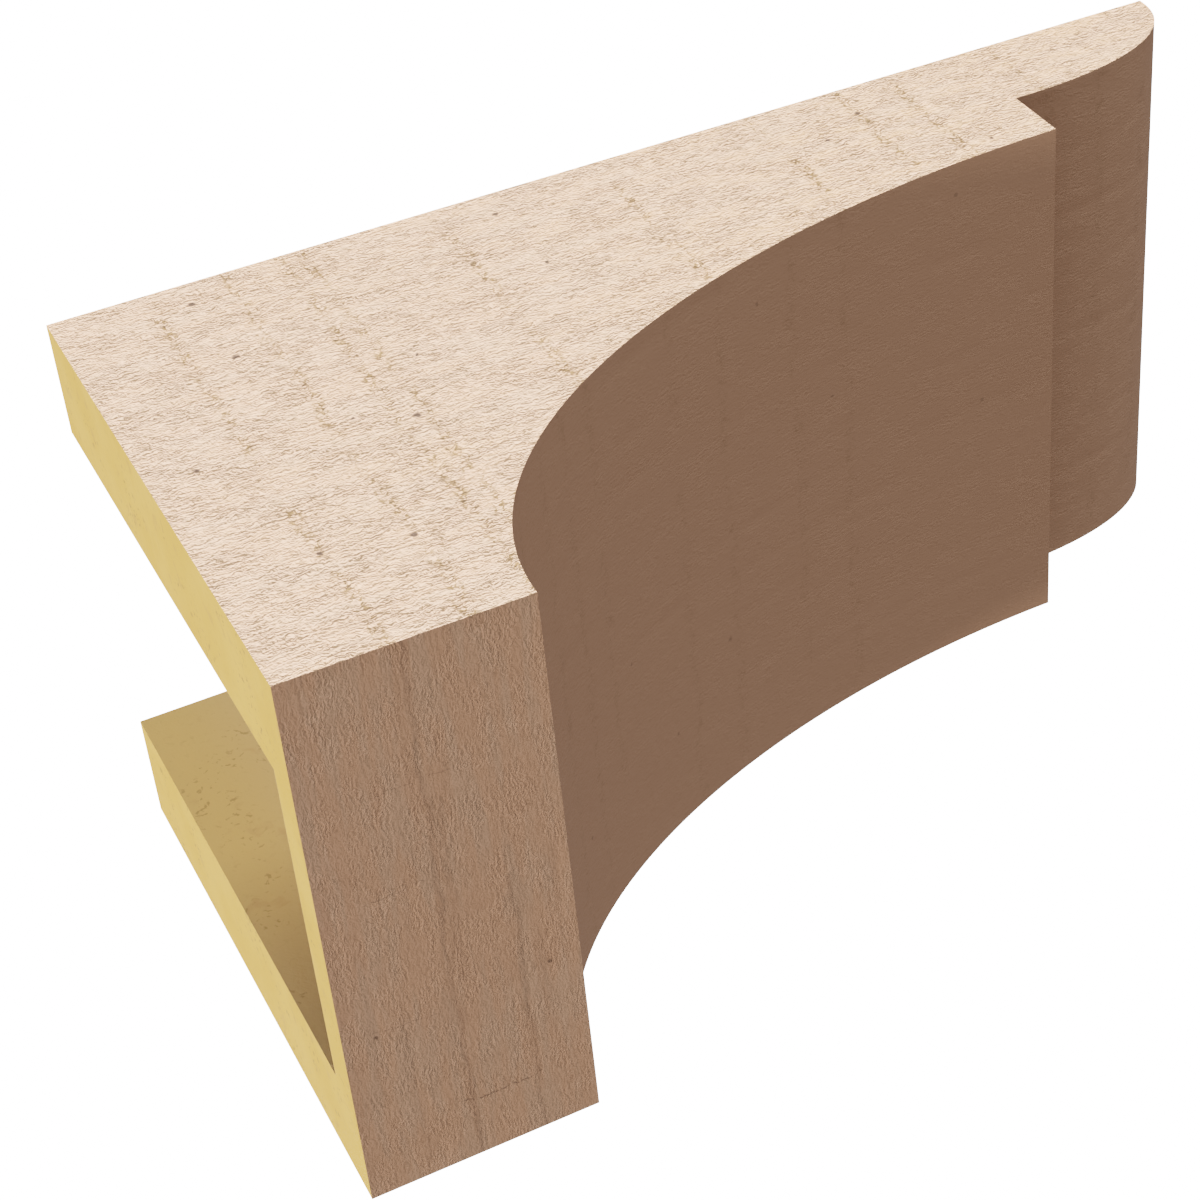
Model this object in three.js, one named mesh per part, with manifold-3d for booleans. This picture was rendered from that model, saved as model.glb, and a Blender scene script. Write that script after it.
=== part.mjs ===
import * as THREE from 'three';
import { mergeVertices } from 'three/addons/utils/BufferGeometryUtils.js';
import Module from 'manifold-3d';

// A rough-sawn timber-look corbel, moulded in one piece of rigid foam, in millimetres.
// +Z is up and the wall is the plane y = 0, so the corbel stands out from it towards -Y.
// The origin is the middle of the top edge of the back.

// Overall size
const WIDTH = 203.2;
const DEPTH = 203.2;
const HEIGHT = 406.4;

// Side profile, from the top down: a square block, a long hollow cove, a step and a round nose
const BLOCK_HEIGHT = 76.2;
const COVE_HEIGHT = 254;
const COVE_DEPTH = 139.7;
const STEP_DEPTH = 25.4;
const NOSE_FULLNESS = 2.33;

// The casting is hollow, open at the back and at the top
const SIDE_WALL = 40.64;
const FRONT_WALL = 15.4;

// How finely the two curves are divided, and how far a cut runs past a face
const COVE_STEPS = 48;
const NOSE_STEPS = 20;
const OVERCUT = 10;

const COVE_END_Z = -(BLOCK_HEIGHT + COVE_HEIGHT);
const COVE_END_DEPTH = DEPTH - COVE_DEPTH;
const NOSE_DEPTH = COVE_END_DEPTH - STEP_DEPTH;
const NOSE_HEIGHT = HEIGHT + COVE_END_Z;

const finish = new THREE.MeshStandardMaterial({ color: 0xb08e70, roughness: 0.8, metalness: 0 });

// The cove is a quarter of an ellipse whose centre lies level with the step, on the front plane.
// The curve is moved `wall` millimetres into the casting, square to itself, for the hollow's wall.
function coveCurve(wall) {
  return Array.from({ length: COVE_STEPS + 1 }, (_, i) => {
    const angle = (Math.PI / 2) * (i / COVE_STEPS);
    const onFace = new THREE.Vector2(
      COVE_DEPTH * Math.sin(angle) - DEPTH,
      COVE_HEIGHT * Math.cos(angle) + COVE_END_Z,
    );
    const inward = new THREE.Vector2(Math.sin(angle) / COVE_DEPTH, Math.cos(angle) / COVE_HEIGHT);
    return onFace.addScaledVector(inward.normalize(), wall);
  });
}

// The nose leaves the step straight down and rounds over to the wall, a little fuller than an ellipse.
function noseCurve() {
  return Array.from({ length: NOSE_STEPS + 1 }, (_, i) => {
    const angle = (Math.PI / 2) * (i / NOSE_STEPS);
    const out = Math.max(Math.cos(angle), 0) ** (2 / NOSE_FULLNESS);
    const down = Math.sin(angle) ** (2 / NOSE_FULLNESS);
    return new THREE.Vector2(-NOSE_DEPTH * out, COVE_END_Z - NOSE_HEIGHT * down);
  });
}

// The outline of the whole casting seen from the side, as y and z.
function sideOutline() {
  const top = [new THREE.Vector2(0, 0), new THREE.Vector2(-DEPTH, 0)];
  const end = noseCurve();
  end[NOSE_STEPS].set(0, -HEIGHT);
  return [...top, ...coveCurve(0), ...end];
}

// The hollow seen from the side, before the cove's wall is left standing in it.
function hollowOutline() {
  const front = FRONT_WALL - DEPTH;
  const floor = COVE_END_Z + FRONT_WALL;
  return [
    new THREE.Vector2(OVERCUT, OVERCUT),
    new THREE.Vector2(front, OVERCUT),
    new THREE.Vector2(front, floor),
    new THREE.Vector2(OVERCUT, floor),
  ];
}

// Everything in front of the cove's inner wall, seen from the side.
function coveWallOutline() {
  const foot = new THREE.Vector2(-DEPTH - OVERCUT, COVE_END_Z - OVERCUT);
  const head = new THREE.Vector2(-DEPTH - OVERCUT, COVE_END_Z + COVE_HEIGHT + FRONT_WALL);
  const curve = coveCurve(FRONT_WALL);
  const last = curve[COVE_STEPS].clone().setY(foot.y);
  return [head, ...curve, last, foot];
}

const { Manifold, Mesh } = await Module().then((wasm) => {
  wasm.setup();
  return wasm;
});

// A side outline carried straight across the corbel, centred on its middle plane, as a solid.
function acrossTheWidth(outline, width) {
  const geometry = new THREE.ExtrudeGeometry(new THREE.Shape(outline), {
    depth: width,
    bevelEnabled: false,
  });
  geometry.translate(0, 0, -width / 2);
  const [alongY, alongZ, alongX] = [
    new THREE.Vector3(0, 1, 0),
    new THREE.Vector3(0, 0, 1),
    new THREE.Vector3(1, 0, 0),
  ];
  geometry.applyMatrix4(new THREE.Matrix4().makeBasis(alongY, alongZ, alongX));
  geometry.deleteAttribute('normal');
  geometry.deleteAttribute('uv');
  const merged = mergeVertices(geometry);
  return new Manifold(new Mesh({
    numProp: 3,
    vertProperties: merged.attributes.position.array,
    triVerts: merged.index.array,
  }));
}

function toGeometry(solid) {
  const { vertProperties, triVerts } = solid.getMesh();
  const geometry = new THREE.BufferGeometry();
  geometry.setAttribute('position', new THREE.BufferAttribute(vertProperties, 3));
  geometry.setIndex(new THREE.BufferAttribute(triVerts, 1));
  geometry.computeVertexNormals();
  return geometry;
}

function corbelGeometry() {
  const hollowWidth = WIDTH - 2 * SIDE_WALL;
  const hollow = acrossTheWidth(hollowOutline(), hollowWidth)
    .subtract(acrossTheWidth(coveWallOutline(), WIDTH));
  return toGeometry(acrossTheWidth(sideOutline(), WIDTH).subtract(hollow));
}

const corbel = new THREE.Mesh(corbelGeometry(), finish);
corbel.name = 'corbel';

const part = new THREE.Group();
part.add(corbel);

export default part;
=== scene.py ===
"""A rough-sawn timber-look corbel, moulded in one piece of rigid foam, set up for its portrait.

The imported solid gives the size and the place. This script replaces its plain faces with one closed
mesh that carries the sawn relief, gives it the tan finish and the raw foam, and lights it plainly.
"""

import logging
import math
from collections.abc import Callable
from dataclasses import dataclass
from enum import IntEnum

import bmesh
import bpy
import numpy as np
from mathutils import Matrix, Vector
from mathutils.kdtree import KDTree


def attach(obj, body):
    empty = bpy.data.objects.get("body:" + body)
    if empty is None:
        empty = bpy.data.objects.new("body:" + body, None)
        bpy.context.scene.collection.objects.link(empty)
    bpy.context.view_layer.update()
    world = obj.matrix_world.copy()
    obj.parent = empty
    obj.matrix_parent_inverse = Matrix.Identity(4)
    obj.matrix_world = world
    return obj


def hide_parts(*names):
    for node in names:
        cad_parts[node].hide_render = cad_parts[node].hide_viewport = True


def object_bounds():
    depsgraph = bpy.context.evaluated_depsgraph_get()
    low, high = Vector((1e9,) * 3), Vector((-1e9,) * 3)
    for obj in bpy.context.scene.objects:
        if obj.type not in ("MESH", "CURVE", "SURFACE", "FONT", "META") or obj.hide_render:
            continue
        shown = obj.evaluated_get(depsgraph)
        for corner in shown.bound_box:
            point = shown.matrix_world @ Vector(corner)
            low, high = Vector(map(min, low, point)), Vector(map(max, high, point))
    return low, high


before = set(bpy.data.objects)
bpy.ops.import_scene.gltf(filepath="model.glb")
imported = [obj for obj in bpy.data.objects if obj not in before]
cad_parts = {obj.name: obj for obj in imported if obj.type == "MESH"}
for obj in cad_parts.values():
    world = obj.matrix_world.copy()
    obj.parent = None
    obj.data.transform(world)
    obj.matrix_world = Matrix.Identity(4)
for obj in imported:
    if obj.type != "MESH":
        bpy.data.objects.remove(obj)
CAD_LOW, CAD_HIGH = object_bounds()

log = logging.getLogger("corbel")

MM = 0.001
NODE = "corbel"
BODY = "root"

# How far apart the faces lie on the grain map, in millimetres
LANE = 500.0
# How much of a normal has to lie along an axis for its face to be square to it
SQUARE_ON = 0.9

Colour = tuple[float, float, float, float]
# A pair of sizes, or the y and z of a point
Pair = tuple[float, float]
# A noise that bends coordinates: its size along and across the fibres, and its reach
Bend = tuple[Pair, float]


class Face(IntEnum):
    """The surfaces of the casting."""

    FOAM = 0
    SIDE = 1
    BLOCK = 2
    COVE = 3
    STEP = 4
    NOSE = 5


@dataclass(frozen=True)
class Line:
    """A thin dark line on a face, in millimetres of the face: its place and where it starts and ends."""

    place: float
    start: float
    end: float
    width: float
    shade: float


@dataclass(frozen=True)
class CastFace:
    """One sawn face of the casting, with its places in millimetres along and across the fibres.

    The marks are where the saw marks cross the fibres, from the face's start. The coarseness says how
    rough the face came out of the mould, from 0 to 1, and the fineness how many times closer together
    its fibres lie than on the sides. The hand is the side that the face is on, +1 or -1, or 0 where it
    runs across the whole front. A pit is a small hole drawn only as a dark spot of painted shade, given
    by its place and radius, and the pit shade says how dark it is. The hooks say how strongly the saw
    tore the face, from 0 to 1. A streak is a dark line along the fibres, and a crack a dark line of
    painted shade across them.
    """

    face: Face
    coarse: float
    fine: float
    marks: tuple[float, ...]
    hand: int = 0
    pits: tuple[tuple[float, float, float], ...] = ()
    pit_shade: float = 0.9
    hooks: float = 1.0
    streaks: tuple[Line, ...] = ()
    cracks: tuple[Line, ...] = ()


CAST_FACES = (
    CastFace(
        Face.SIDE,
        coarse=1.0,
        fine=1.0,
        marks=(32.0, 57.5, 76.0, 84.0, 129.0, 188.0, 246.0, 279.0, 298.0, 341.0),
        hand=1,
        pits=(
            (93.0, -77.0, 0.8), (45.0, -48.5, 1.3), (15.0, -100.0, 1.1), (63.7, -98.7, 0.8),
            (148.7, -49.3, 1.0), (43.0, -12.5, 1.3), (146.7, -13.0, 1.0), (80.7, -107.0, 1.4),
            (31.8, -155.7, 1.0), (57.5, -161.0, 1.3), (261.7, -28.7, 1.0), (279.5, -17.5, 1.1),
            (309.0, -57.0, 1.0),
        ),
    ),
    CastFace(
        Face.SIDE,
        coarse=1.0,
        fine=1.0,
        marks=(21.0, 48.0, 69.0, 117.0, 152.0, 203.0, 231.0, 290.0, 327.0, 366.0),
        hand=-1,
        hooks=0.6,
        pits=((28.0, -66.0, 1.1), (71.0, -142.0, 1.3), (118.0, -31.0, 1.0), (224.0, -22.0, 1.1)),
    ),
    CastFace(
        Face.BLOCK,
        coarse=0.31,
        fine=1.1,
        marks=(39.0, 49.0, 60.0, 86.0, 91.0, 137.0, 167.0, 179.0, 189.0),
        pits=((138.0, -10.5, 0.9), (135.5, -66.3, 0.9)),
        pit_shade=0.7,
        hooks=0.15,
        streaks=(
            Line(-36.0, 0.0, 203.0, 1.3, 0.27),
            Line(-58.0, 96.0, 203.0, 1.0, 0.24),
            Line(-39.5, 60.0, 128.0, 1.8, 0.14),
        ),
        cracks=(
            Line(179.0, -58.0, -35.0, 0.26, 0.60),
            Line(86.0, -36.0, -14.0, 0.22, 0.40),
            Line(137.0, -30.0, -8.0, 0.22, 0.35),
            Line(49.0, -44.0, -20.0, 0.20, 0.30),
        ),
    ),
    CastFace(
        Face.COVE,
        coarse=0.07,
        fine=1.2,
        marks=(28.0, 47.0, 73.0, 90.0, 106.0, 149.0, 172.0, 205.0, 228.0),
        pits=(
            (168.0, -40.9, 1.1), (221.0, 32.6, 0.9), (80.0, -61.4, 0.8), (138.0, -62.4, 0.8),
            (275.5, 89.6, 0.9), (190.0, 83.6, 0.9), (116.0, -15.9, 0.7), (286.0, 2.6, 1.0),
        ),
        pit_shade=0.35,
    ),
    CastFace(Face.STEP, coarse=0.3, fine=1.3, marks=(12.0,)),
    CastFace(Face.NOSE, coarse=0.12, fine=1.3, marks=(14.0, 37.0, 62.0)),
)


def only(piece: bpy.types.Object) -> None:
    """Selects this object and nothing else, and makes it active."""
    bpy.ops.object.select_all(action="DESELECT")
    piece.select_set(True)
    bpy.context.view_layer.objects.active = piece


def smooth_step(value: np.ndarray, low: float, high: float) -> np.ndarray:
    """Rises smoothly from 0 at low to 1 at high.

    Args:
        value: The numbers to map.
        low: Where the rise starts.
        high: Where the rise ends.

    Returns:
        The mapped numbers, from 0 to 1.
    """
    t = np.clip((value - low) / (high - low), 0.0, 1.0)
    return t * t * (3.0 - 2.0 * t)


def read_all(items: bpy.types.bpy_prop_collection, name: str, width: int, kind: type = float) -> np.ndarray:
    """Reads one property of every item of a mesh.

    Args:
        items: The mesh's vertices, faces or corners.
        name: The property.
        width: How many numbers it has.
        kind: What kind of number it is.

    Returns:
        One row for each item, or one number where the width is 1.
    """
    values = np.zeros(len(items) * width, kind)
    items.foreach_get(name, values)
    return values.reshape(-1, width) if width > 1 else values


@dataclass(frozen=True)
class CorbelShape:
    """The corbel's sizes in metres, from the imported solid's box and sixteenths of its depth."""

    low: Vector
    high: Vector
    block_parts: float = 6.0
    cove_high_parts: float = 20.0
    cove_deep_parts: float = 11.0
    step_parts: float = 2.0
    nose_fullness: float = 2.33
    side_wall_parts: float = 3.2
    front_wall: float = 15.4 * MM
    cove_steps: int = 205
    step_steps: int = 16
    nose_steps: int = 60

    @property
    def width(self) -> float:
        """The width across the wall."""
        return self.high.x - self.low.x

    @property
    def depth(self) -> float:
        """How far the block stands out from the wall."""
        return self.high.y - self.low.y

    @property
    def height(self) -> float:
        """The height down the wall."""
        return self.high.z - self.low.z

    def parts(self, count: float) -> float:
        """A length of so many sixteenths of the depth."""
        return count * self.depth / 16.0

    @property
    def cove_end(self) -> Pair:
        """The y and z of the cove's lower end, where the step begins."""
        return (
            self.parts(self.cove_deep_parts) - self.depth,
            -self.parts(self.block_parts + self.cove_high_parts),
        )

    def cove(self, wall: float = 0.0) -> list[Pair]:
        """The cove's curve, a quarter of an ellipse, moved square to itself into the casting.

        Args:
            wall: How far it is moved.

        Returns:
            The curve's points from the block down, as y and z.
        """
        deep, high = self.parts(self.cove_deep_parts), self.parts(self.cove_high_parts)
        points = []
        for i in range(self.cove_steps + 1):
            angle = math.pi / 2 * i / self.cove_steps
            inward = Vector((math.sin(angle) / deep, math.cos(angle) / high)).normalized() * wall
            y = deep * math.sin(angle) - self.depth + inward.x
            z = high * math.cos(angle) + self.cove_end[1] + inward.y
            points.append((y, z))
        return points

    def step(self) -> list[Pair]:
        """The step's inner points, from the cove's end to the nose's start."""
        y, z = self.cove_end
        reach = self.parts(self.step_parts)
        return [(y + reach * i / self.step_steps, z) for i in range(1, self.step_steps)]

    def nose(self) -> list[Pair]:
        """The nose's curve, a little fuller than an ellipse, from the step down to the wall."""
        start_y, start_z = self.cove_end[0] + self.parts(self.step_parts), self.cove_end[1]
        drop = self.height + start_z
        power = 2.0 / self.nose_fullness
        points = []
        for i in range(self.nose_steps):
            angle = math.pi / 2 * i / self.nose_steps
            points.append((start_y * math.cos(angle) ** power, start_z - drop * math.sin(angle) ** power))
        return [*points, (0.0, -self.height)]

    def front(self) -> list[Pair]:
        """The whole front outline, from the top of the block to the tip, as y and z."""
        return [(-self.depth, 0.0), *self.cove(), *self.step(), *self.nose()]


class Blots:
    """A repeatable smooth noise over a plane, made from one seeded sheet of random heights."""

    SHEET_STEP = (37.3, 59.7)

    def __init__(self, seed: int, cells: int = 256) -> None:
        """Draws the sheet of heights, from -1 to 1."""
        self.heights = np.random.default_rng(seed).uniform(-1.0, 1.0, (cells, cells))

    def at(self, along: np.ndarray, across: np.ndarray, size: Pair, sheet: int) -> np.ndarray:
        """Reads the noise.

        Args:
            along: Places down the grain.
            across: Places across the grain.
            size: The blots' size in the two directions.
            sheet: Which part of the sheet is read, so that no two noises match.

        Returns:
            The heights, from -1 to 1.
        """
        cells = len(self.heights)
        u = along / size[0] + self.SHEET_STEP[0] * sheet
        v = across / size[1] + self.SHEET_STEP[1] * sheet
        i, j = np.floor(u).astype(int), np.floor(v).astype(int)
        s, t = smooth_step(u - i, 0.0, 1.0), smooth_step(v - j, 0.0, 1.0)
        h = self.heights
        near = h[i % cells, j % cells] * (1 - t) + h[i % cells, (j + 1) % cells] * t
        far = h[(i + 1) % cells, j % cells] * (1 - t) + h[(i + 1) % cells, (j + 1) % cells] * t
        return near * (1 - s) + far * s


@dataclass(frozen=True)
class SawnRelief:
    """The sawn and torn surface that the casting copies from a rough board, in metres.

    A saw mark bends and frays on its way across the fibres and has gaps. The sizes of swells, streaks
    and tears are along and across the fibres. The relief begins a rim away from a face's edge and is
    full where the edge ends.
    """

    seed: int = 7
    mark_depth: float = 0.35 * MM
    mark_width: float = 1.7 * MM
    wander: float = 2.0 * MM
    bend_size: float = 22.0 * MM
    bend_share: float = 0.6
    fray_size: float = 4.0 * MM
    fray_share: float = 0.5
    gap_size: float = 13.0 * MM
    gap_sweep: float = 0.8
    swell_depth: float = 0.22 * MM
    swell_size: Pair = (11.0 * MM, 26.0 * MM)
    streak_depth: float = 0.30 * MM
    streak_size: Pair = (48.0 * MM, 3.4 * MM)
    streak_start: float = 0.45
    streak_end: float = 0.95
    tear_depth: float = 0.45 * MM
    tear_size: Pair = (5.0 * MM, 2.9 * MM)
    tear_start: float = 0.65
    tear_end: float = 1.2
    tear_by_saw: float = 0.4
    rim: float = 0.2 * MM
    edge: float = 4.0 * MM
    sheets_a_face: int = 11
    sheets_a_mark: int = 3

    def saw(self, along: np.ndarray, across: np.ndarray, marks: tuple[float, ...], lane: int) -> np.ndarray:
        """How strongly each place is torn by the nearest saw mark.

        Args:
            along: Distances along the fibres.
            across: Distances across the fibres.
            marks: Where the saw marks cross the fibres, in millimetres.
            lane: A number that is different on each face, so that no two faces match.

        Returns:
            From 0 to 1 for each place.
        """
        blots = Blots(self.seed)
        torn = np.zeros(len(along))
        for number, place in enumerate(marks):
            sheet = self.sheets_a_face * lane + self.sheets_a_mark * number
            bend = blots.at(along * 0, across, (1.0, self.bend_size), sheet)
            fray = blots.at(along * 0, across, (1.0, self.fray_size), sheet + 1)
            offset = along - place * MM - self.wander * (self.bend_share * bend + self.fray_share * fray)
            there = blots.at(along * 0, across, (1.0, self.gap_size), sheet + 2)
            strength = np.clip(there * self.gap_sweep + self.gap_sweep, 0.0, 1.0)
            torn = np.maximum(torn, strength * np.exp(-((offset / self.mark_width) ** 2)))
        return torn

    def depth(self, along: np.ndarray, across: np.ndarray, saw: np.ndarray, lane: int) -> np.ndarray:
        """How deep each place lies under the moulding's true face.

        Args:
            along: Distances along the fibres.
            across: Distances across the fibres.
            saw: How strongly each place is torn by a saw mark.
            lane: A number that is different on each face, so that no two faces match.

        Returns:
            The depths in metres.
        """
        blots = Blots(self.seed + 1)
        swell = blots.at(along, across, self.swell_size, lane)
        streak = blots.at(along, across, self.streak_size, lane + 1)
        torn = blots.at(along, across, self.tear_size, lane + 2) + self.tear_by_saw * saw
        depth = self.swell_depth * (0.5 + 0.5 * swell) + self.mark_depth * saw
        depth += self.streak_depth * smooth_step(streak, self.streak_start, self.streak_end)
        depth += self.tear_depth * smooth_step(torn, self.tear_start, self.tear_end)
        return depth

    def fade(self, edge: np.ndarray) -> np.ndarray:
        """How much of the relief is left, from 0 at a face's edge to 1, by the distance from the edge."""
        return smooth_step(edge, self.rim, self.edge)


@dataclass
class CorbelBody:
    """The whole casting as one closed mesh with its sawn relief.

    The hollow takes every so many steps of the cove's curve. A cut runs past a face by the overcut. A
    place is on a face when it is as near as `near`, and on the front's curves within the front band.
    The step shade is painted shade, a darker tone under the step, which dies away down the nose over its
    reach. The foam's map leans with its height, so that no two of its faces match.
    """

    shape: CorbelShape
    relief: SawnRelief
    side_cell: float = 1.30 * MM
    front_cuts: int = 100
    hollow_step: int = 4
    overcut: float = 10.0 * MM
    near: float = 0.05 * MM
    front_band: float = 0.3 * MM
    # Painted shade under the step, and how far down the nose it fades
    step_shade: float = 0.38
    step_shade_reach: float = 24.0 * MM
    foam_lean: Pair = (-0.6, 0.8)
    smooth_angle: float = 35.0

    def build(self) -> bpy.types.Object:
        """Cuts the casting from a block, marks its faces and carves the relief.

        Returns:
            The finished piece, at the origin with its place in its mesh.
        """
        piece = self._gridded_block()
        front_half = self.shape.width / 2 + self.overcut
        hollow_half = self.shape.width / 2 - self.shape.parts(self.shape.side_wall_parts)
        self._cut(piece, self._cutter("front_cutter", self._front_void(), front_half))
        self._cut(piece, self._cutter("hollow_cutter", self._hollow(), hollow_half, gridded=False))
        piece.name = piece.data.name = "corbel_casting"
        self._mark_and_carve(piece)
        return piece

    def _gridded_block(self) -> bpy.types.Object:
        """The block that the casting is cut from, with fine cells on both sides and on the front.

        Returns:
            The block, a little too tall at its foot.
        """
        s = self.shape
        tall = s.height + self.overcut
        bpy.ops.object.select_all(action="DESELECT")
        bpy.ops.mesh.primitive_grid_add(
            x_subdivisions=round(tall / self.side_cell),
            y_subdivisions=round(s.depth / self.side_cell),
            size=1.0,
            location=(s.width / 2, -s.depth / 2, -tall / 2),
            rotation=(0.0, math.pi / 2, 0.0),
        )
        block = bpy.context.object
        block.scale = (tall, s.depth, 1.0)
        bpy.ops.object.transform_apply(location=True, rotation=True, scale=True)
        self._extrude_across(block, s.width)
        lowest = -s.parts(s.block_parts) - 2 * self.side_cell
        self._grid_front(block, s.width, lambda y, z: y < MM - s.depth and z > lowest)
        return block

    def _extrude_across(self, piece: bpy.types.Object, width: float) -> None:
        """Extrudes a flat side face across the corbel, towards -X, into a closed body.

        Args:
            piece: The object that holds the face.
            width: How far the face is extruded.
        """
        only(piece)
        bpy.ops.object.mode_set(mode="EDIT")
        bpy.ops.mesh.select_all(action="SELECT")
        bpy.ops.mesh.extrude_region_move(TRANSFORM_OT_translate={"value": (-width, 0.0, 0.0)})
        bpy.ops.mesh.select_all(action="SELECT")
        bpy.ops.mesh.normals_make_consistent(inside=False)
        bpy.ops.object.mode_set(mode="OBJECT")

    def _grid_front(
        self, piece: bpy.types.Object, width: float, wanted: Callable[[float, float], bool]
    ) -> None:
        """Divides the edges that run straight across the wanted faces, which makes them a grid.

        Args:
            piece: The object to divide.
            width: The length of an edge that runs the whole way across.
            wanted: Says whether an edge at this y and z is divided.
        """
        only(piece)
        bpy.ops.object.mode_set(mode="EDIT")
        bpy.ops.mesh.select_mode(type="EDGE")
        bpy.ops.mesh.select_all(action="DESELECT")
        mesh = bmesh.from_edit_mesh(piece.data)
        for edge in mesh.edges:
            a, b = edge.verts[0].co, edge.verts[1].co
            if abs(a.x - b.x) > SQUARE_ON * width and wanted(a.y, a.z):
                edge.select_set(True)
        bmesh.update_edit_mesh(piece.data)
        bpy.ops.mesh.subdivide(number_cuts=self.front_cuts, quadcorner="INNERVERT")
        bpy.ops.object.mode_set(mode="OBJECT")

    def _front_void(self) -> list[Pair]:
        """The outline of the empty space in front of the corbel, as y and z."""
        s, c = self.shape, self.overcut
        out, top, low = -s.depth - c, -s.parts(s.block_parts), -s.height - 2 * c
        return [(out, top), *s.cove(), *s.step(), *s.nose(), (c, -s.height), (c, low), (out, low)]

    def _hollow(self) -> list[Pair]:
        """The outline of the hollow, open at the top and at the back, as y and z."""
        s, c = self.shape, self.overcut
        front = s.front_wall - s.depth
        wall = s.cove(s.front_wall)
        inside = [(y, z) for y, z in wall if y > front]
        before = wall[len(wall) - len(inside) - 1]
        share = (front - before[0]) / (inside[0][0] - before[0])
        corner = (front, before[1] + share * (inside[0][1] - before[1]))
        floor = s.cove_end[1] + s.front_wall
        kept = [(y, z) for y, z in inside if z > floor][:: self.hollow_step]
        return [(c, c), (front, c), corner, *kept[1:], (inside[-1][0], floor), (c, floor)]

    def _cutter(self, name: str, outline: list[Pair], half: float, gridded: bool = True) -> bpy.types.Object:
        """Makes a cutting body from a side outline.

        Args:
            name: The cutter's name.
            outline: Its outline as y and z.
            half: Half its width.
            gridded: Whether its curved faces are divided into cells.

        Returns:
            The cutter.
        """
        bpy.ops.object.select_all(action="DESELECT")
        bpy.ops.mesh.primitive_circle_add(vertices=len(outline), fill_type="NGON", location=(0.0, 0.0, 0.0))
        cutter = bpy.context.object
        cutter.name = name
        for vertex, (y, z) in zip(cutter.data.vertices, outline, strict=True):
            vertex.co = (half, y, z)
        self._extrude_across(cutter, 2 * half)
        if gridded:
            low_y, low_z = -self.shape.depth - MM, -self.shape.height - MM
            self._grid_front(cutter, 2 * half, lambda y, z: low_y < y < MM and z > low_z)
        return cutter

    @staticmethod
    def _cut(piece: bpy.types.Object, cutter: bpy.types.Object) -> None:
        """Takes a cutter's body away from the piece and removes the cutter.

        Args:
            piece: The piece to cut.
            cutter: The body to take away.
        """
        only(piece)
        modifier = piece.modifiers.new("cut", "BOOLEAN")
        modifier.object = cutter
        modifier.operation = "DIFFERENCE"
        modifier.solver = "MANIFOLD"
        bpy.ops.object.modifier_apply(modifier=modifier.name)
        bpy.data.objects.remove(cutter)

    def _face_kinds(self, centres: np.ndarray, normals: np.ndarray) -> np.ndarray:
        """Says which surface of the casting each face of the mesh belongs to.

        Args:
            centres: The faces' centres.
            normals: The faces' normals.

        Returns:
            One Face number for each face.
        """
        s = self.shape
        x, y, z = centres.T
        kinds = np.full(len(centres), int(Face.FOAM))
        side = (np.abs(np.abs(x) - s.width / 2) < self.near) & (np.abs(normals[:, 0]) > SQUARE_ON)
        kinds[side] = Face.SIDE
        outline = np.array(s.front())
        girth = outline[:, 0] - outline[:, 1]
        on_y = np.interp(y - z, girth, outline[:, 0])
        on_z = np.interp(y - z, girth, outline[:, 1])
        front = (np.hypot(y - on_y, z - on_z) < self.front_band) & (y < -self.near)
        front &= (np.abs(normals[:, 0]) < 0.5) & (normals[:, 2] < 0.5)
        block_z, cove_z = -s.parts(s.block_parts), s.cove_end[1]
        kinds[front & (z > block_z)] = Face.BLOCK
        kinds[front & (z <= block_z)] = Face.COVE
        kinds[front & (z < cove_z)] = Face.NOSE
        kinds[front & (np.abs(z - cove_z) < self.near) & (normals[:, 2] < -SQUARE_ON)] = Face.STEP
        return kinds

    def _mark_and_carve(self, piece: bpy.types.Object) -> None:
        """Maps the grain on the sawn faces, presses the relief into them and names the bare foam.

        Args:
            piece: The smooth casting.
        """
        mesh = piece.data
        mesh.materials.clear()
        points = read_all(mesh.vertices, "co", 3)
        centres, normals = read_all(mesh.polygons, "center", 3), read_all(mesh.polygons, "normal", 3)
        kinds = self._face_kinds(centres, normals)
        corner_vertex = read_all(mesh.loops, "vertex_index", 1, int)
        corner_face = np.repeat(np.arange(len(kinds)), read_all(mesh.polygons, "loop_total", 1, int))
        grain = (points[:, :2] + points[:, 2:] * self.foam_lean)[corner_vertex] / MM
        coarse, step_shade = np.zeros(len(corner_vertex)), np.zeros(len(corner_vertex))
        saw = np.zeros(len(points))
        moved = points.copy()
        for lane, cast in enumerate(CAST_FACES):
            chosen = kinds == cast.face
            if cast.hand:
                chosen &= np.sign(centres[:, 0]) == cast.hand
            corners = np.flatnonzero(chosen[corner_face])
            used, back = np.unique(corner_vertex[corners], return_inverse=True)
            along, across, edge = self._places(cast.face, points[used])
            torn = self.relief.saw(along, across, cast.marks, lane) * cast.hooks
            depth = self.relief.depth(along, across, torn, lane) * cast.coarse * self.relief.fade(edge)
            pull = np.zeros((len(used), 3))
            np.add.at(pull, back, normals[corner_face[corners]])
            pull /= np.linalg.norm(pull, axis=1, keepdims=True)
            moved[used] -= pull * depth[:, None]
            saw[used] = np.maximum(saw[used], torn)
            grain[corners] = np.stack([along, across * cast.fine], axis=1)[back] / MM + (0.0, LANE * lane)
            coarse[corners] = cast.coarse
            # Painted shade under the step, fading down the nose
            if cast.face is Face.NOSE:
                step_shade[corners] = self.step_shade * np.exp(-along[back] / self.step_shade_reach)
            deepest = depth.max() / MM
            log.info("%s: %d faces, at most %.2f mm deep", cast.face.name.lower(), chosen.sum(), deepest)
        mesh.vertices.foreach_set("co", moved.ravel())
        mesh.uv_layers.new(name="grain").data.foreach_set("uv", grain.ravel())
        layers = (("coarse", "CORNER", coarse), ("step_shade", "CORNER", step_shade), ("saw", "POINT", saw))
        for name, where, values in layers:
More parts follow.
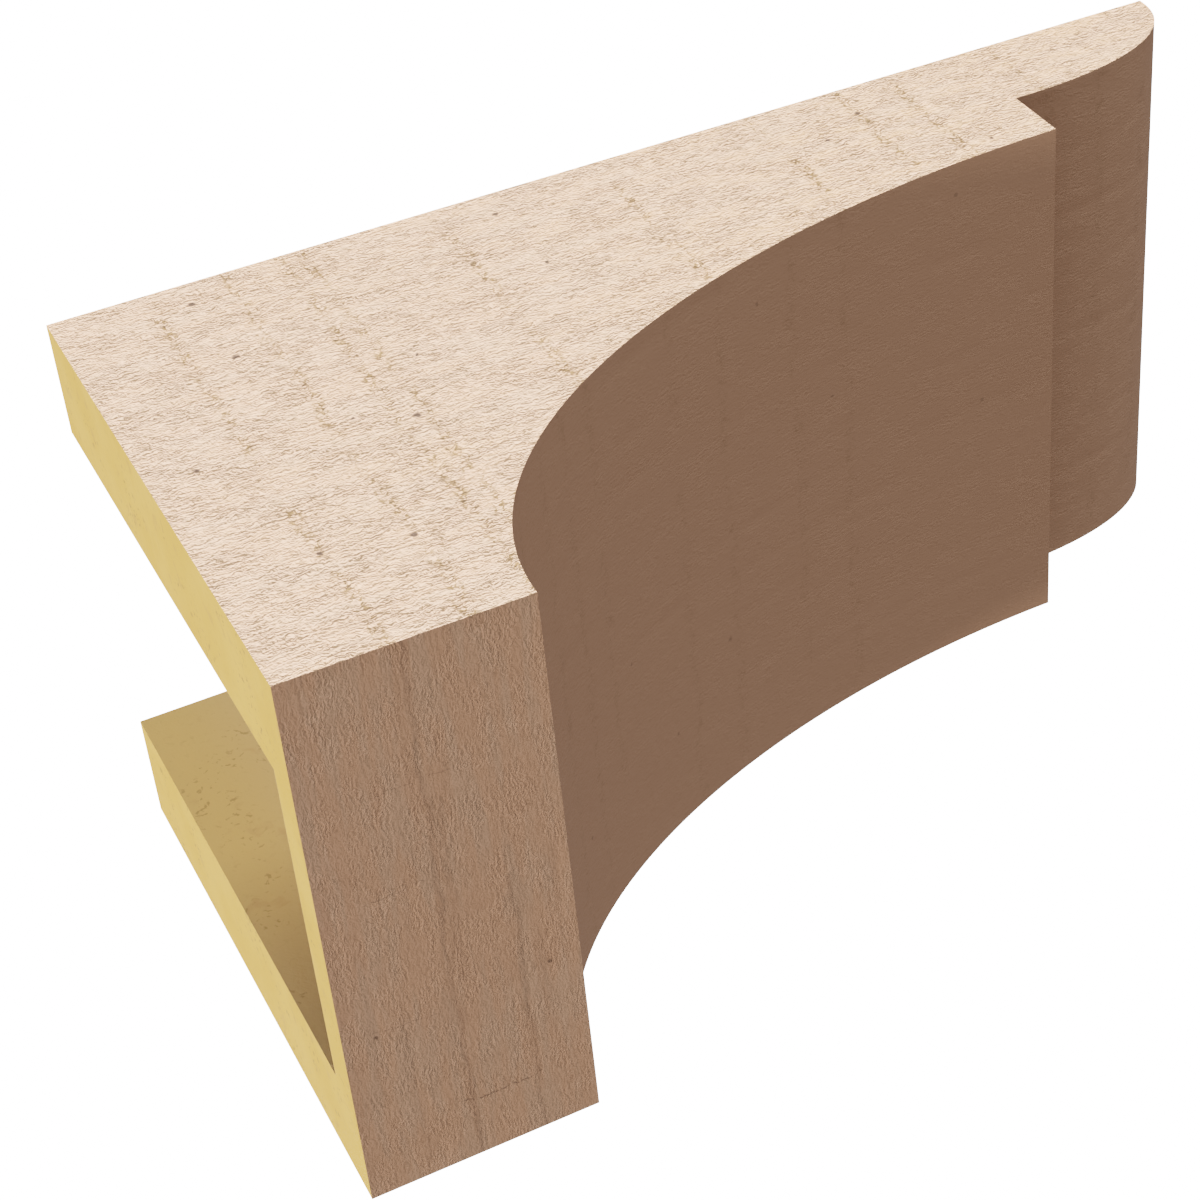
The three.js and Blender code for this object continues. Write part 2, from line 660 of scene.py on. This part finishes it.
            mesh.attributes.new(name, "FLOAT", where).data.foreach_set("value", values)
        mesh.polygons.foreach_set("material_index", (kinds == Face.FOAM).astype(int))
        mesh.update()
        only(piece)
        bpy.ops.object.shade_smooth_by_angle(angle=math.radians(self.smooth_angle))

    def _places(self, face: Face, points: np.ndarray) -> tuple[np.ndarray, np.ndarray, np.ndarray]:
        """Where points lie on a face.

        Args:
            face: The face.
            points: The points on it.

        Returns:
            How far they are along the fibres, across the fibres, and in from the face's edges.
        """
        s = self.shape
        x, y, z = points.T
        outline = np.array(s.front())
        if face is Face.SIDE:
            tree = KDTree(len(outline))
            for i, (on_y, on_z) in enumerate(outline):
                tree.insert((0.0, on_y, on_z), i)
            tree.balance()
            front = np.array([tree.find((0.0, a, b))[2] for a, b in zip(y, z, strict=True)])
            top = outline[0, 1] - z
            front = np.where(z > -s.parts(s.block_parts), s.depth + y, front)
            return -z, y, np.minimum.reduce([front, top, -y])
        girth = outline[:, 0] - outline[:, 1]
        length = np.r_[0.0, np.cumsum(np.hypot(*np.diff(outline, axis=0).T))]
        down = np.interp(y - z, girth, length)
        at_cove = s.parts(s.block_parts)
        at_step = length[1 + s.cove_steps]
        at_nose = at_step + s.parts(s.step_parts)
        starts = {Face.BLOCK: 0.0, Face.COVE: at_cove, Face.STEP: at_step, Face.NOSE: at_nose}
        ends = {Face.BLOCK: at_cove, Face.COVE: at_step, Face.STEP: at_nose, Face.NOSE: length[-1]}
        edge = np.minimum.reduce([s.width / 2 - np.abs(x), down - starts[face], ends[face] - down])
        if face is Face.BLOCK:
            return s.width / 2 - x, z, edge
        return down - starts[face], x, edge


class Wire:
    """A shader socket that Python arithmetic can be done on."""

    def __init__(self, bench: "NodeBench", socket: bpy.types.NodeSocket) -> None:
        """Keeps the socket and the bench that it belongs to."""
        self.bench, self.socket = bench, socket

    def _with(self, operation: str, first: "Wire | float", second: "Wire | float") -> "Wire":
        """Adds one Math node."""
        return self.bench.add("Math", {"operation": operation}, {0: first, 1: second})

    def __add__(self, other: "Wire | float") -> "Wire":
        """The sum."""
        return self._with("ADD", self, other)

    def __sub__(self, other: "Wire | float") -> "Wire":
        """The difference."""
        return self._with("SUBTRACT", self, other)

    def __rsub__(self, other: "Wire | float") -> "Wire":
        """The difference, the other way round."""
        return self._with("SUBTRACT", other, self)

    def __mul__(self, other: "Wire | float") -> "Wire":
        """The product."""
        return self._with("MULTIPLY", self, other)

    def size(self) -> "Wire":
        """The value without its sign."""
        return self.bench.add("Math", {"operation": "ABSOLUTE"}, {0: self})

    def most(self, other: "Wire | float") -> "Wire":
        """The greater of two values."""
        return self._with("MAXIMUM", self, other)

    def step(self, low: float, high: float) -> "Wire":
        """A smooth rise from 0 at low to 1 at high, or a fall from 1 at high where low is the greater."""
        settings = {"interpolation_type": "SMOOTHSTEP", "clamp": True}
        return self.bench.add("MapRange", settings, {"Value": self, "From Min": low, "From Max": high})


class NodeBench:
    """Adds nodes to one material."""

    MIX_COLOURS = (6, 7)
    MIX_RESULT = 2

    def __init__(self, name: str) -> None:
        """Makes an empty node material of this name."""
        self.material = bpy.data.materials.new(name)
        self.material.use_nodes = True
        self.tree = self.material.node_tree
        self.tree.nodes.clear()

    def add(
        self, kind: str, settings: dict[str, object], inputs: dict[int | str, object], output: int | str = 0
    ) -> Wire:
        """Adds one node.

        Args:
            kind: The node's type, without ShaderNode.
            settings: Its own settings.
            inputs: The values or wires of its sockets, by name or number.
            output: Which output is handed back.

        Returns:
            That output.
        """
        node = self.tree.nodes.new("ShaderNode" + kind)
        for key, value in settings.items():
            setattr(node, key, value)
        for key, value in inputs.items():
            if isinstance(value, Wire):
                self.tree.links.new(value.socket, node.inputs[key])
            else:
                node.inputs[key].default_value = value
        return Wire(self, node.outputs[output] if node.outputs else None)

    def layer(self, name: str) -> Wire:
        """The mesh's own number of this name."""
        return self.add("Attribute", {"attribute_name": name}, {}, output="Fac")

    def split(self, place: Wire) -> list[Wire]:
        """The three coordinates of a place, each on its own."""
        parts = self.add("SeparateXYZ", {}, {"Vector": place})
        return [Wire(self, output) for output in parts.socket.node.outputs]

    def shift(self, place: Wire, drift: Wire, reach: float) -> Wire:
        """Coordinates pushed about by a colour.

        Args:
            place: The coordinates.
            drift: A colour around mid grey.
            reach: How far a full change of the colour moves them.

        Returns:
            The moved coordinates.
        """
        push = self.add("VectorMath", {"operation": "SUBTRACT"}, {0: drift, 1: (0.5, 0.5, 0.5)})
        scaled = self.add("VectorMath", {"operation": "SCALE"}, {0: push, "Scale": reach})
        return self.add("VectorMath", {"operation": "ADD"}, {0: place, 1: scaled})

    def mix(self, factor: Wire, a: Wire | Colour, b: Wire | Colour) -> Wire:
        """A colour between two others.

        Args:
            factor: 0 for the first colour, 1 for the second.
            a: The first colour.
            b: The second colour.

        Returns:
            The mixed colour.
        """
        first, second = self.MIX_COLOURS
        inputs = {"Factor": factor, first: a, second: b}
        return self.add("Mix", {"data_type": "RGBA"}, inputs, output=self.MIX_RESULT)

    def finish(
        self, colour: Wire, roughness: Wire | float, specular: float, normal: Wire
    ) -> bpy.types.Material:
        """Adds the surface and the material's output.

        Args:
            colour: The surface's colour.
            roughness: Its roughness.
            specular: How strong its reflections are.
            normal: Its bumps.

        Returns:
            The material.
        """
        inputs = {"Base Color": colour, "Roughness": roughness, "Normal": normal}
        shader = self.add("BsdfPrincipled", {}, {**inputs, "Specular IOR Level": specular})
        self.add("OutputMaterial", {}, {"Surface": shader})
        return self.material


@dataclass(frozen=True)
class TanFinish:
    """The matt tan finish on the moulded sawn surface, drawn in millimetres of the grain map.

    Sizes are along and across the fibres. Lift is how far across the fibres the height is read again
    Painted shade darkens the recesses and a painted highlight lightens the crests, both told from the height
    and the slope as if the relief were lit; a line fades at its ends.
    ends. The wide and the small bend are those of the fibres.
    """

    tan: Colour = (0.571, 0.2865, 0.162, 1.0)
    # The painted highlight on the crests
    pale: Colour = (0.70, 0.375, 0.235, 1.0)
    # The warmer tan of the random patches and of the painted warm light towards the nose
    warm_tan: Colour = (0.585, 0.292, 0.148, 1.0)
    grey_tan: Colour = (0.540, 0.310, 0.192, 1.0)
    # The painted shade in the recesses and under the step
    recess_shade: Colour = (0.190, 0.100, 0.050, 1.0)
    # The painted shadow of the pits, cracks and the hooks' cores, also the dark of the streaks
    shadow: Colour = (0.060, 0.030, 0.016, 1.0)
    # The painted ochre shade of the torn hooks
    torn_hook_shade: Colour = (0.240, 0.116, 0.040, 1.0)
    specular: float = 0.12
    bump_height: float = 0.85 * MM
    lift: float = 0.30
    middle: float = 0.515
    by_height: float = 1.10
    by_slope: float = 2.0
    full_recess: float = 0.20
    full_crest: float = 0.14
    full_saw: float = 0.55
    # How much warmer the sides turn per millimetre towards the nose, as painted warm light
    warm_light_by_length: float = 0.0025
    fibre_size: Pair = (3.8, 1.0)
    fibre_share: float = 0.58
    nap_size: Pair = (0.9, 0.62)
    wide_bend: Bend = ((6.0, 4.5), 1.9)
    small_bend: Bend = ((1.5, 1.3), 0.8)
    patch_size: Pair = (15.0, 8.0)
    warm_size: Pair = (70.0, 50.0)
    grey_size: Pair = (45.0, 7.0)
    grey_share: float = 0.6
    hook_size: Pair = (2.4, 4.5)
    hook_bend: Bend = ((2.0, 1.6), 3.2)
    hook_gaps: Pair = (5.0, 3.4)
    pit_bend: Bend = ((1.6, 1.2), 1.5)
    streak_bend: Bend = ((16.0, 12.0), 4.5)
    crack_bend: Bend = ((2.5, 2.5), 1.2)
    line_gaps: Pair = (3.0, 2.0)
    streak_fade: float = 4.0
    crack_fade: float = 3.0
    noise_roughness: float = 0.55

    def material(self) -> bpy.types.Material:
        """Builds the material.

        Returns:
            The material.
        """
        bench = NodeBench("rough_sawn_tan")
        grain = bench.add("UVMap", {"uv_map": "grain"}, {})
        coarse, saw, step_shade = (bench.layer(name) for name in ("coarse", "saw", "step_shade"))

        height = self._height(grain, 0.0)
        slope = self._height(grain, self.lift) - height
        patches = self._noise(grain, self.patch_size, 2.0).step(0.36, 0.64)
        # Painted shade and highlight as if the relief were lit: places below the middle height and slopes
        # that face down the map get painted shade as recesses, the rest a painted highlight as crests
        relief_shading = ((self.middle - height) * self.by_height + slope * self.by_slope) * (patches * 0.80 + 0.58)
        recess_shade = relief_shading.step(-0.02, self.full_recess)
        crest_highlight = (0.0 - relief_shading).step(-0.02, self.full_crest)
        torn = self._torn(grain) * saw.step(0.0, self.full_saw)
        dark = self._dark_lines(grain)
        strength = coarse * (patches * 0.95 + 0.30)
        bumps = {"Strength": strength, "Distance": self.bump_height, "Height": height}
        normal = bench.add("Bump", {}, bumps)

        colour = self._ground(grain, coarse)
        # Painted shade under the step
        colour = bench.mix(step_shade, colour, self.recess_shade)
        # Painted highlight on the crests
        colour = bench.mix(crest_highlight * coarse, colour, self.pale)
        # Painted shade in the recesses
        colour = bench.mix(recess_shade * coarse, colour, self.recess_shade)
        # Painted ochre shade on the torn hooks
        colour = bench.mix(torn * (coarse * 0.85 + 0.10), colour, self.torn_hook_shade)
        # Painted shadow in the hooks' recesses
        colour = bench.mix(torn * recess_shade * coarse * 0.8, colour, self.shadow)
        # Pits and cracks in painted shade, and the dark streaks
        colour = bench.mix(dark, colour, self.shadow)
        return bench.finish(colour, recess_shade * 0.2 + 0.62, self.specular, normal)

    def _ground(self, grain: Wire, coarse: Wire) -> Wire:
        """The tan ground, warmer in wide random patches of the sides and, as painted warm light, towards the
        nose, and greyer in streaks of the rough faces.

        Args:
            grain: The grain map.
            coarse: How rough the face is.

        Returns:
            The colour.
        """
        bench = grain.bench
        along = bench.split(grain)[0]
        # Warmer towards the nose as painted warm light, and in wide random patches
        warm_tone_and_light = along * self.warm_light_by_length + self._noise(grain, self.warm_size, 1.0) - 0.5
        colour = bench.mix(warm_tone_and_light.step(0.0, 1.0) * coarse.step(0.6, 0.9), self.tan, self.warm_tan)
        grey = self._noise(grain, self.grey_size, 2.0).step(0.40, 0.66)
        return bench.mix(grey * coarse.step(0.20, 0.30) * self.grey_share, colour, self.grey_tan)

    def _dark_lines(self, grain: Wire) -> Wire:
        """The pits, streaks and cracks of every face; the dark of the pits and cracks is painted shade.

        Args:
            grain: The grain map.

        Returns:
            How dark each place is, from 0 to 1.
        """
        bench = grain.bench
        place = self._bent(grain, grain, self.pit_bend, 2.0)
        slow = self._bent(grain, grain, self.streak_bend, 1.0)
        wavy = self._bent(slow, grain, self.crack_bend, 1.0)
        broken = self._noise(grain, self.line_gaps, 2.0).step(0.36, 0.56)
        along, across = bench.split(wavy)[:2]
        slow_across = bench.split(slow)[1]
        dark: Wire | float = 0.0
        for lane, cast in enumerate(CAST_FACES):
            for u, v, radius in cast.pits:
                centre = (u, v * cast.fine + LANE * lane, 0.0)
                away = bench.add("VectorMath", {"operation": "DISTANCE"}, {0: place, 1: centre}, output=1)
                pit = away.step(1.2 * radius, 0.5 * radius) * cast.pit_shade
                dark = pit.most(dark)
            for line in cast.streaks:
                middle = line.place * cast.fine + LANE * lane
                near = (slow_across - middle).size().step(line.width * 1.6, 0.0)
                ends = along.step(line.start - self.streak_fade, line.start)
                ends = ends * along.step(line.end + self.streak_fade, line.end)
                dark = (near * ends * (broken * 0.4 + 0.6) * line.shade).most(dark)
            for line in cast.cracks:
                near = (along - line.place).size().step(line.width * 1.8, 0.0)
                low, high = (v * cast.fine + LANE * lane for v in (line.start, line.end))
                ends = across.step(low - self.crack_fade, low) * across.step(high + self.crack_fade, high)
                dark = (near * ends * broken * line.shade).most(dark)
        return dark

    def _height(self, grain: Wire, over: float) -> Wire:
        """The height of the fibres and the nap.

        Args:
            grain: The grain map.
            over: How many millimetres further across the fibres it is read.

        Returns:
            The height, from 0 to 1.
        """
        place = grain.bench.add("Mapping", {}, {"Vector": grain, "Location": (over * 0.5, over, 0.0)})
        warped = self._bent(place, place, self.wide_bend, 1.0)
        warped = self._bent(warped, warped, self.small_bend, 0.0)
        fibres = self._noise(warped, self.fibre_size, 3.0)
        nap = self._noise(warped, self.nap_size, 2.0)
        return fibres * self.fibre_share + nap * (1.0 - self.fibre_share)

    def _torn(self, grain: Wire) -> Wire:
        """The little hooks that the saw tore across the fibres.

        Args:
            grain: The grain map.

        Returns:
            1 on a hook and 0 elsewhere.
        """
        warped = self._bent(grain, grain, self.hook_bend, 1.0)
        line = (self._noise(warped, self.hook_size, 0.0) - 0.5).size()
        there = self._noise(grain, self.hook_gaps, 1.0).step(0.30, 0.48)
        return (1.0 - line.step(0.02, 0.11)) * there

    def _bent(self, place: Wire, at: Wire, bend: Bend, detail: float) -> Wire:
        """Coordinates bent by a noise.

        Args:
            place: The coordinates to bend.
            at: Where the noise is read.
            bend: The noise's size along and across the fibres, and how far it reaches.
            detail: How many finer layers it has.

        Returns:
            The bent coordinates.
        """
        size, reach = bend
        return place.bench.shift(place, self._noise(at, size, detail, output="Color"), reach)

    def _noise(self, place: Wire, size: Pair, detail: float, output: str = "Fac") -> Wire:
        """A noise whose blots have this size in millimetres along and across the fibres.

        Args:
            place: The coordinates, in millimetres.
            size: The size along and across.
            detail: How many finer layers it has.
            output: The noise's value or its colour.

        Returns:
            The noise, from 0 to 1.
        """
        scale = (1.0 / size[0], 1.0 / size[1], 1.0)
        scaled = place.bench.add("Mapping", {}, {"Vector": place, "Scale": scale})
        inputs = {"Vector": scaled, "Scale": 1.0, "Detail": detail, "Roughness": self.noise_roughness}
        return place.bench.add("TexNoise", {"noise_dimensions": "2D"}, inputs, output=output)


@dataclass(frozen=True)
class RawFoam:
    """The bare yellow foam of the back, the top and the hollow.

    The hollow's half width, front and floor lie just behind its faces, so that the faces are inside them.
    The inside's colour is painted light and shade: it turns paler with its depth below the top, in place
    of the light deep in the hollow, and browner towards the front as painted shade. Scales are in blots to
    the metre.
    """

    yellow: Colour = (0.62, 0.350, 0.082, 1.0)
    pale: Colour = (0.65, 0.376, 0.099, 1.0)
    stain: Colour = (0.44, 0.245, 0.085, 1.0)
    # The hollow's colours stand in for the light and shade inside it, not for another colour of foam
    inside: Colour = (0.57, 0.350, 0.112, 1.0)
    deep_inside_painted_light: Colour = (0.53, 0.365, 0.190, 1.0)
    front_inside_shade: Colour = (0.51, 0.325, 0.142, 1.0)
    speck: Colour = (0.27, 0.165, 0.050, 1.0)
    hollow_half: float = 61.0 * MM
    hollow_front: float = -187.9 * MM
    hollow_floor: float = -315.0 * MM
    deep_from: float = -5.0 * MM
    deep_to: float = -80.0 * MM
    front_from: float = -70.0 * MM
    front_to: float = -180.0 * MM
    bend_scale: float = 160.0
    bend_reach: float = 6.0 * MM
    cloud_scale: float = 38.0
    stain_scale: float = 105.0
    stain_share: float = 0.45
    bunch_scale: float = 48.0
    speck_scale: float = 500.0
    pore_scale: float = 1100.0
    pore_share: float = 0.35
    dent_scale: float = 320.0
    bump_strength: float = 0.28
    bump_height: float = 0.6 * MM
    roughness: float = 0.9
    specular: float = 0.2

    def material(self) -> bpy.types.Material:
        """Builds the material.

        Returns:
            The material.
        """
        bench = NodeBench("raw_foam")
        place = bench.add("TexCoord", {}, {}, output="Object")
        drift = self._noise(place, self.bend_scale, 2.0, output="Color")
        warped = bench.shift(place, drift, self.bend_reach)

        cloud = self._noise(place, self.cloud_scale, 3.0).step(0.35, 0.68)
        colour = bench.mix(cloud, self.yellow, self.pale)
        # The hollow's faces take the painted light and shade colours of the inside
        colour = bench.mix(self._in_hollow(place), colour, self._inside_painted_light(place))
        stain = self._noise(warped, self.stain_scale, 3.0).step(0.60, 0.74)
        colour = bench.mix(stain * self.stain_share, colour, self.stain)
        bunch = self._noise(place, self.bunch_scale, 2.0).step(0.50, 0.62)
        specks = self._noise(warped, self.speck_scale, 2.0).step(0.58, 0.69)
        colour = bench.mix(specks * (bunch * 0.6 + 0.10), colour, self.speck)

        pores = self._noise(place, self.pore_scale, 3.0)
        dents = self._noise(place, self.dent_scale, 2.0)
        height = pores * self.pore_share + dents * (1.0 - self.pore_share)
        bumps = {"Strength": self.bump_strength, "Distance": self.bump_height, "Height": height}
        normal = bench.add("Bump", {}, bumps)
        return bench.finish(colour, self.roughness, self.specular, normal)

    def _inside_painted_light(self, place: Wire) -> Wire:
        """The colour of the hollow's faces, painted light and shade rather than another colour of foam.

        Args:
            place: The object coordinates.

        Returns:
            The colour.
        """
        bench = place.bench
        y, z = bench.split(place)[1:]
        # Paler with depth in place of the light deep inside, darker towards the front as painted shade
        colour = bench.mix(z.step(self.deep_from, self.deep_to), self.inside, self.deep_inside_painted_light)
        return bench.mix(y.step(self.front_from, self.front_to), colour, self.front_inside_shade)

    def _in_hollow(self, place: Wire) -> Wire:
        """Finds the faces of the hollow.

        Args:
            place: The object coordinates.

        Returns:
            1 inside the hollow and 0 on the open faces.
        """
        x, y, z = place.bench.split(place)
        between = x.size().step(self.hollow_half + 0.2 * MM, self.hollow_half)
        behind = y.step(self.hollow_front - 0.3 * MM, self.hollow_front)
        above = z.step(self.hollow_floor - 0.4 * MM, self.hollow_floor)
        return between * behind * above

    @staticmethod
    def _noise(place: Wire, scale: float, detail: float, output: str = "Fac") -> Wire:
        """A noise with this many blots to the metre."""
        inputs = {"Vector": place, "Scale": scale, "Detail": detail}
        return place.bench.add("TexNoise", {}, inputs, output=output)


@dataclass(frozen=True)
class PortraitCamera:
    """The photograph's camera, which turns round the middle of the corbel."""

    azimuth: float = 40.35
    elevation: float = 20.72
    roll: float = -109.76
    distance: float = 0.9486
    lens: float = 85.64
    shift_x: float = -0.1580
    shift_y: float = -0.0437
    nearest: float = 0.05
    farthest: float = 50.0

    def place(self, centre: Vector) -> bpy.types.Object:
        """Adds the camera and makes it the scene's own.

        Args:
            centre: The point that it looks at.

        Returns:
            The camera.
        """
        a, e = math.radians(self.azimuth), math.radians(self.elevation)
        back = Vector((math.sin(a) * math.cos(e), -math.cos(a) * math.cos(e), math.sin(e)))
        data = bpy.data.cameras.new("portrait_camera")
        data.lens, data.shift_x, data.shift_y = self.lens, self.shift_x, self.shift_y
        data.clip_start, data.clip_end = self.nearest, self.farthest
        camera = bpy.data.objects.new("portrait_camera", data)
        bpy.context.scene.collection.objects.link(camera)
        aim = (-back).to_track_quat("-Z", "Y").to_matrix().to_4x4()
        turned = aim @ Matrix.Rotation(math.radians(self.roll), 4, "Z")
        camera.matrix_world = Matrix.Translation(centre + back * self.distance) @ turned
        bpy.context.scene.camera = camera
        return camera


@dataclass(frozen=True)
class SoftLight:
    """One soft lamp, given by the direction that its light comes from and its breadth in degrees."""

    name: str
    towards: tuple[float, float, float]
    strength: float
    colour: tuple[float, float, float]
    angle: float

    def place(self) -> None:
        """Adds the lamp."""
        data = bpy.data.lights.new(self.name, "SUN")
        data.energy, data.color, data.angle = self.strength, self.colour, math.radians(self.angle)
        lamp = bpy.data.objects.new(self.name, data)
        lamp.rotation_mode = "QUATERNION"
        lamp.rotation_quaternion = Vector(self.towards).to_track_quat("Z", "Y")
        bpy.context.scene.collection.objects.link(lamp)


@dataclass(frozen=True)
class Studio:
    """A white studio: a plain pale floor, an even background and soft lamps.

    White is the film's brightest tone, and the smaller the shoulder, the earlier the tones near it.
    """

    white: float = 4.0
    ambient: float = 0.262
    floor_drop: float = 1.0
    floor_size: float = 40.0
    shoulder: float = 0.175
    curve_points: int = 14
    all_channels: int = 3
    lamps: tuple[SoftLight, ...] = (
        SoftLight("side_lamp", (1.0, -0.02, -0.01), 9.6, (0.698, 0.850, 0.99), 1.2),
        SoftLight("top_lamp", (0.0, -0.17, 0.985), 4.2, (1.0, 1.0, 1.0), 12.0),
        SoftLight("back_lamp", (0.70, 0.70, -0.10), 2.6, (1.0, 1.0, 1.0), 25.0),
        SoftLight("far_side_lamp", (-0.85, 0.50, -0.05), 2.2, (1.0, 1.0, 1.0), 25.0),
    )

    def build(self, lowest: float) -> None:
        """Sets up the background, the floor, the lamps and the film's tone curve.

        Args:
            lowest: The corbel's lowest point.
        """
        self._background()
        self._floor(lowest - self.floor_drop)
        for lamp in self.lamps:
            lamp.place()
        self._tone_curve()

    def _background(self) -> None:
        """An even dim light all round that the camera sees as white."""
        world = bpy.data.worlds.new("studio")
        bpy.context.scene.world = world
        world.use_nodes = True
        tree = world.node_tree
        tree.nodes.clear()
        path = tree.nodes.new("ShaderNodeLightPath")
        dim, bright = tree.nodes.new("ShaderNodeBackground"), tree.nodes.new("ShaderNodeBackground")
        dim.inputs["Strength"].default_value = self.ambient
        bright.inputs["Strength"].default_value = self.white
        for shade in (dim, bright):
            shade.inputs["Color"].default_value = (1.0, 1.0, 1.0, 1.0)
        either, out = tree.nodes.new("ShaderNodeMixShader"), tree.nodes.new("ShaderNodeOutputWorld")
        tree.links.new(path.outputs["Is Camera Ray"], either.inputs[0])
        tree.links.new(dim.outputs[0], either.inputs[1])
        tree.links.new(bright.outputs[0], either.inputs[2])
        tree.links.new(either.outputs[0], out.inputs["Surface"])

    def _floor(self, height: float) -> None:
        """A plain pale floor below the corbel.

        Args:
            height: The floor's height.
        """
        bpy.ops.object.select_all(action="DESELECT")
        bpy.ops.mesh.primitive_plane_add(size=self.floor_size, location=(0.0, 0.0, height))
        floor = bpy.context.object
        floor.name = "studio_floor"
        bench = NodeBench("pale_floor")
        glow = bench.add("Emission", {}, {"Color": (1.0, 1.0, 1.0, 1.0), "Strength": self.white})
        bench.add("OutputMaterial", {}, {"Surface": glow})
        floor.data.materials.append(bench.material)
        floor.visible_diffuse = floor.visible_glossy = floor.visible_shadow = False

    def _tone_curve(self) -> None:
        """Rolls the highlights off to white, as a film does, so that the lit side turns pale."""
        view = bpy.context.scene.view_settings
        view.view_transform = "Standard"
        view.use_curve_mapping = True
        mapping = view.curve_mapping
        mapping.white_level = (self.white,) * 3
        curve = mapping.curves[self.all_channels]
        for i in range(1, self.curve_points):
            level = (i / self.curve_points) ** 2
            curve.points.new(level, (1 + self.shoulder) * level / (level + self.shoulder))
        mapping.update()


def main() -> None:
    """Builds the corbel, dresses it and sets up the studio."""
    logging.basicConfig(level=logging.INFO, format="%(name)s %(message)s")
    PortraitCamera().place((CAD_LOW + CAD_HIGH) / 2)
    casting = CorbelBody(CorbelShape(CAD_LOW, CAD_HIGH), SawnRelief()).build()
    casting.data.materials.append(TanFinish().material())
    casting.data.materials.append(RawFoam().material())
    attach(casting, BODY)
    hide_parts(NODE)
    log.info("%s: %d faces", casting.name, len(casting.data.polygons))
    Studio().build(CAD_LOW.z)


if __name__ == "__main__":
    main()
